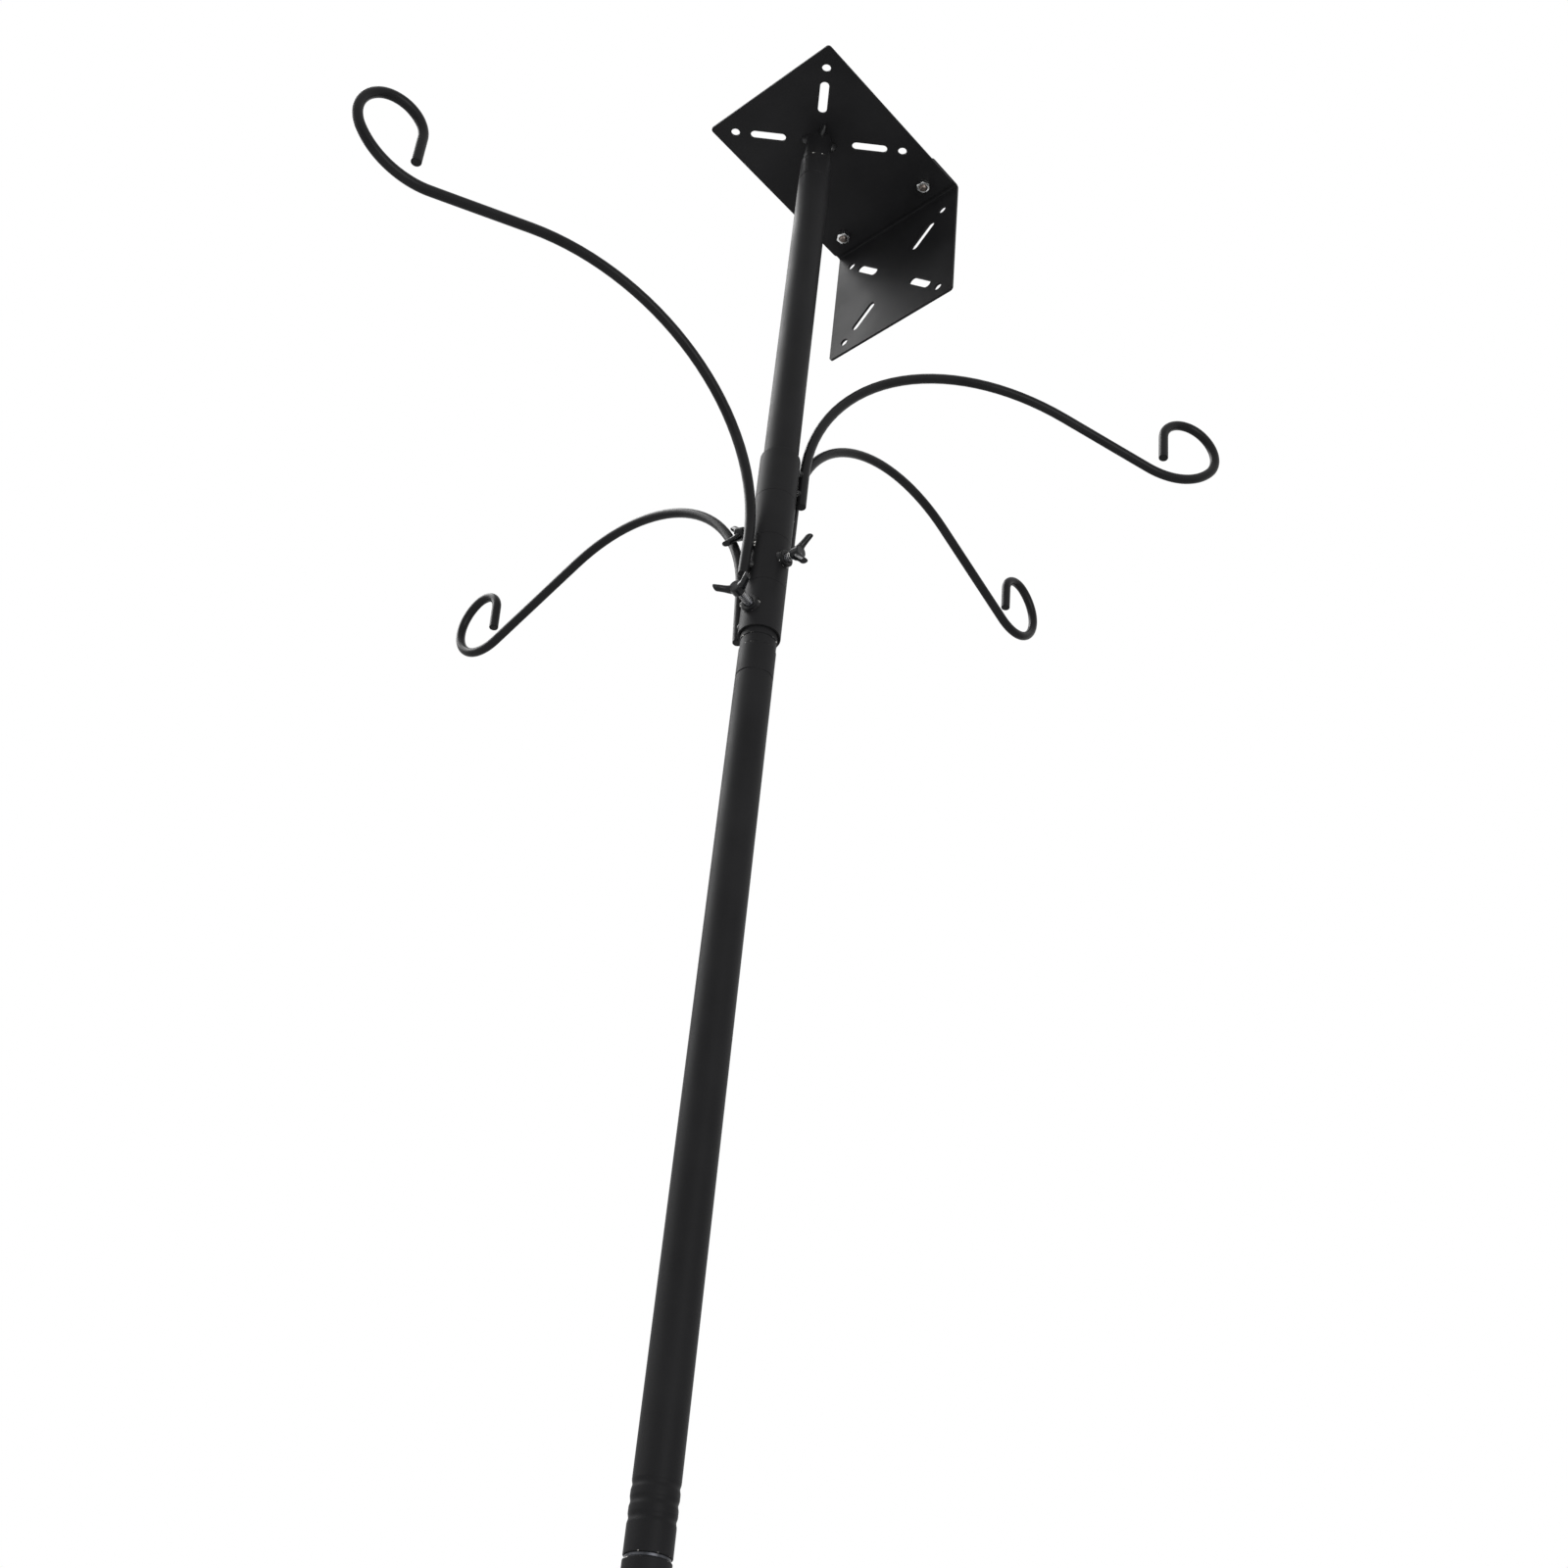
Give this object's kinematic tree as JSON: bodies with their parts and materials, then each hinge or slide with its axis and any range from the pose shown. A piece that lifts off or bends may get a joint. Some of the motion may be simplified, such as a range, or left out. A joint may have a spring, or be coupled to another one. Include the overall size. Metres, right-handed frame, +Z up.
{
  "type": "bird feeder stand",
  "caption": "Sectional garden pole with a slotted top plate and back bracket, swivelling curled hooks clamped by wing screws, and a pronged ground stake.",
  "frame": {"origin": "on the pole's axis at the level of the soil", "axes": "+Z up the pole, +X from the pole towards the back plate, +Y completes a right-handed frame"},
  "size_m": [0.6755, 0.4834, 1.5981],
  "materials": {
    "powder_coat": "black satin powder coat",
    "gloss_coat": "black semi-gloss paint",
    "zinc": "bright zinc plate",
    "blackened": "blackened steel, worn bright on the thread crests"
  },
  "bodies": {
    "pole": {"mounting_plate": "powder_coat", "back_bracket": "powder_coat", "plate_boss": "powder_coat", "bracket_bolt_left": "zinc", "bracket_bolt_right": "zinc", "bracket_nut_left": "zinc", "bracket_nut_right": "zinc", "upper_tube": "powder_coat", "upper_tube_bush": "blackened", "upper_tube_plug": "powder_coat", "middle_tube": "powder_coat", "middle_tube_bush": "blackened", "middle_tube_plug": "blackened", "lower_tube": "powder_coat", "lower_tube_bush": "blackened", "stake_socket": "powder_coat", "stake_spike": "powder_coat", "stake_prong_1": "powder_coat", "stake_prong_2": "powder_coat", "stake_prong_3": "powder_coat", "stake_prong_4": "powder_coat"},
    "arm_1": {"sleeve_1": "powder_coat", "hook_rod_1": "gloss_coat", "sleeve_nut_1": "gloss_coat"},
    "screw_1": {"wing_screw_1": "blackened"},
    "arm_2": {"sleeve_2": "powder_coat", "hook_rod_2": "gloss_coat", "sleeve_nut_2": "gloss_coat"},
    "screw_2": {"wing_screw_2": "blackened"},
    "arm_3": {"sleeve_3": "powder_coat", "hook_rod_3": "gloss_coat", "sleeve_nut_3": "gloss_coat"},
    "screw_3": {"wing_screw_3": "blackened"},
    "arm_4": {"sleeve_4": "powder_coat", "hook_rod_4": "gloss_coat", "sleeve_nut_4": "gloss_coat"},
    "screw_4": {"wing_screw_4": "blackened"}
  },
  "joints": [
    {"name": "arm_1_swing", "type": "hinge", "parent": "pole", "child": "arm_1", "pos_m": [0, 0, 1.0087], "axis": [0, 0, 1], "range_deg": [-20, 1]},
    {"name": "screw_1_turn", "type": "hinge", "parent": "arm_1", "child": "screw_1", "pos_m": [0, 0, 1.0087], "axis": [0.4848, 0.8746, 0], "continuous": true},
    {"name": "arm_2_swing", "type": "hinge", "parent": "pole", "child": "arm_2", "pos_m": [0, 0, 0.9673], "axis": [0, 0, 1], "range_deg": [-0.5, 10]},
    {"name": "screw_2_turn", "type": "hinge", "parent": "arm_2", "child": "screw_2", "pos_m": [0, 0, 0.964], "axis": [-0.3584, 0.9336, 0], "range_deg": [-3, 12]},
    {"name": "arm_3_swing", "type": "hinge", "parent": "pole", "child": "arm_3", "pos_m": [0, 0, 0.9259], "axis": [0, 0, 1], "range_deg": [-10, 90]},
    {"name": "screw_3_turn", "type": "hinge", "parent": "arm_3", "child": "screw_3", "pos_m": [0, 0, 0.9275], "axis": [0.0419, -0.9991, 0], "continuous": true},
    {"name": "arm_4_swing", "type": "hinge", "parent": "pole", "child": "arm_4", "pos_m": [0, 0, 0.8845], "axis": [0, 0, 1], "range_deg": [-60, 0.5]},
    {"name": "screw_4_turn", "type": "hinge", "parent": "arm_4", "child": "screw_4", "pos_m": [0, 0, 0.8821], "axis": [-0.982, -0.1891, 0], "continuous": true}
  ]
}
